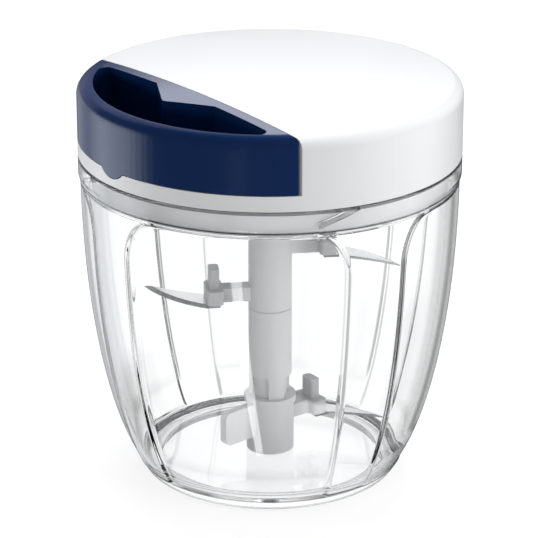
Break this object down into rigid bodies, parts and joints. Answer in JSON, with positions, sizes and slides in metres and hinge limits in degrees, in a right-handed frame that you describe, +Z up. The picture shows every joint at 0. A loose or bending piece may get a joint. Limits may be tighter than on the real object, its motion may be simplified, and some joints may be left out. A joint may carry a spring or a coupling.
{
  "type": "pull-string food chopper",
  "caption": "Hand-pulled food chopper: clear panelled bowl, domed quick-turn lid with a crescent pull handle, spool and spring inside, and a blade unit on a bowl pin.",
  "frame": {"origin": "centre of the foot ring's face that stands on the table", "axes": "+Z up along the axis that the lid, spool and blades turn about; -Y is the side that the pull handle slides out of; +X to the right of someone facing the handle"},
  "size_m": [0.13, 0.13, 0.1415],
  "materials": {
    "clear_plastic": "clear polished moulding, food grade styrene-acrylonitrile",
    "foot_rubber": "translucent soft non-slip ring",
    "white_plastic": "smooth white moulding, semi-gloss",
    "navy_plastic": "dark blue moulding, satin",
    "frosted_plastic": "milky white translucent moulding",
    "inner_plastic": "natural acetal, matt",
    "blade_steel": "stainless steel sheet, ground bevel",
    "pin_steel": "turned steel",
    "spring_steel": "blued spring steel strip",
    "cord": "braided white nylon",
    "seal_rubber": "soft translucent silicone"
  },
  "bodies": {
    "bowl": {"bowl": "clear_plastic", "bowl_pivot_pin": "pin_steel", "foot_ring": "foot_rubber"},
    "riser": {"sealing_ring": "seal_rubber"},
    "lid": {"lid_cover": "white_plastic", "lid_base": "white_plastic", "hub_bush": "inner_plastic", "axle_pin": "pin_steel", "spiral_spring": "spring_steel", "cord_eyelet": "inner_plastic", "lid_screws": "pin_steel", "cord_run": "cord"},
    "handle": {"pull_handle": "navy_plastic", "cord_ferrule": "pin_steel"},
    "spool": {"spool": "inner_plastic", "cord_winding": "cord", "spring_cap": "inner_plastic"},
    "front_pawl": {"front_pawl": "inner_plastic"},
    "rear_pawl": {"rear_pawl": "inner_plastic"},
    "drive": {"drive_hub": "inner_plastic", "thrust_washer": "inner_plastic"},
    "blade_unit": {"blade_shaft": "frosted_plastic", "blade_sleeve": "frosted_plastic", "blade_hub": "frosted_plastic", "upper_blade": "blade_steel", "middle_blade": "blade_steel", "lower_blade": "blade_steel", "pivot_bush": "inner_plastic", "shaft_core": "pin_steel", "blade_rivets": "pin_steel"}
  },
  "joints": [
    {"name": "lid_turn", "type": "hinge", "parent": "riser", "child": "lid", "pos_m": [0, 0, 0.115], "axis": [0, 0, 1], "range_deg": [0, 30]},
    {"name": "lid_rise", "type": "slide", "parent": "bowl", "child": "riser", "axis": [0, 0, 1], "range_m": [0, 0.0115]},
    {"name": "handle_pull", "type": "slide", "parent": "lid", "child": "handle", "axis": [0, -1, 0], "range_m": [0, 0.3], "stiffness_N_per_m": 12, "springref_m": -0.3, "deforming": ["cord_run", "spiral_spring"]},
    {"name": "spool_spin", "type": "hinge", "parent": "lid", "child": "spool", "pos_m": [0, 0, 0.126], "axis": [0, 0, 1], "range_deg": [0, 970]},
    {"name": "drive_spin", "type": "hinge", "parent": "riser", "child": "drive", "pos_m": [0, 0, 0.11], "axis": [0, 0, 1], "range_deg": [0, 970]},
    {"name": "blade_spin", "type": "hinge", "parent": "bowl", "child": "blade_unit", "pos_m": [0, 0, 0.02], "axis": [0, 0, 1], "range_deg": [0, 970]},
    {"name": "front_pawl_swing", "type": "hinge", "parent": "spool", "child": "front_pawl", "pos_m": [0, -0.0106, 0.1196], "axis": [0, 0, -1], "range_deg": [0, 13], "stiffness_Nm_per_rad": 0.0002},
    {"name": "rear_pawl_swing", "type": "hinge", "parent": "spool", "child": "rear_pawl", "pos_m": [0, 0.0106, 0.1196], "axis": [0, 0, -1], "range_deg": [0, 13], "stiffness_Nm_per_rad": 0.0002}
  ],
  "couplings": [
    {"joint": "lid_rise", "follows": "lid_turn", "m_per_rad": 0.021008},
    {"joint": "spool_spin", "follows": "handle_pull", "rad_per_m": 56.18},
    {"joint": "drive_spin", "follows": "handle_pull", "rad_per_m": 56.18},
    {"joint": "blade_spin", "follows": "handle_pull", "rad_per_m": 56.18}
  ]
}
